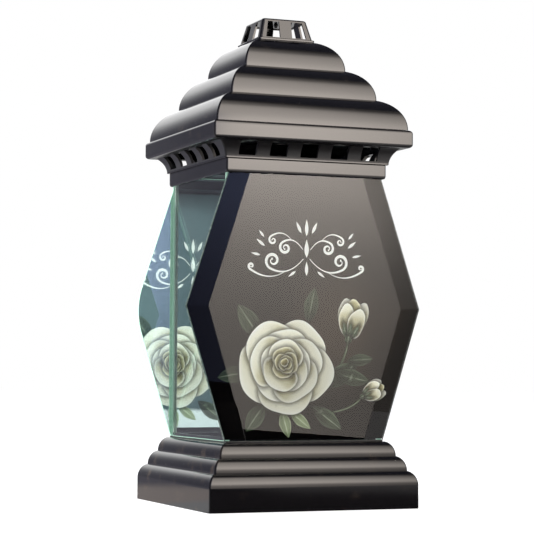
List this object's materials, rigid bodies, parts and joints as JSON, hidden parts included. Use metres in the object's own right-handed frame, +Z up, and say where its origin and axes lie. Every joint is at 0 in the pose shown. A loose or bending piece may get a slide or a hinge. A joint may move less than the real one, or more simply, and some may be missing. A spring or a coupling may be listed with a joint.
{
  "type": "grave lantern",
  "caption": "Square glass grave lantern with hexagonal front and mirror panes, stepped plastic base, vented cornice, lift-off tiered roof with chimney cap, and a low candle insert.",
  "frame": {"origin": "centre of the base's underside, on the surface that the lantern stands on", "axes": "+Z up through the chimney cap, -Y out of the printed front pane, +X to the right of someone who faces the front pane"},
  "size_m": [0.1818, 0.1608, 0.36],
  "materials": {
    "black_plastic": "glossy moulded black polystyrene",
    "clear_glass": "polished float glass, green in its edges",
    "mirror_glass": "silvered float glass",
    "print_film": "printed film on the back of the front pane",
    "silicone": "translucent grey silicone",
    "tin_plate": "bright rolled sheet",
    "cup_plastic": "thin translucent moulded cup",
    "wax": "cream paraffin wax",
    "wick": "braided cotton"
  },
  "bodies": {
    "lantern": {"base": "black_plastic", "foot_bedding": "silicone", "front_pane": "clear_glass", "front_print": "print_film", "left_pane": "clear_glass", "right_pane": "clear_glass", "back_pane": "mirror_glass", "head_bedding": "silicone", "corner_bead_front_left": "silicone", "corner_bead_front_right": "silicone", "corner_bead_back_left": "silicone", "corner_bead_back_right": "silicone", "vent_cornice": "black_plastic"},
    "roof": {"roof": "black_plastic", "heat_shield": "tin_plate", "chimney_cap": "black_plastic"},
    "insert": {"insert_cup": "cup_plastic", "insert_wax": "wax", "wick_sustainer": "tin_plate", "insert_wick": "wick"}
  },
  "joints": [
    {"name": "roof_lift", "type": "slide", "parent": "lantern", "child": "roof", "axis": [0, 0, 1], "range_m": [0, 0.15]},
    {"name": "insert_lift", "type": "slide", "parent": "lantern", "child": "insert", "axis": [0, 0, 1], "range_m": [0, 0.24]}
  ]
}
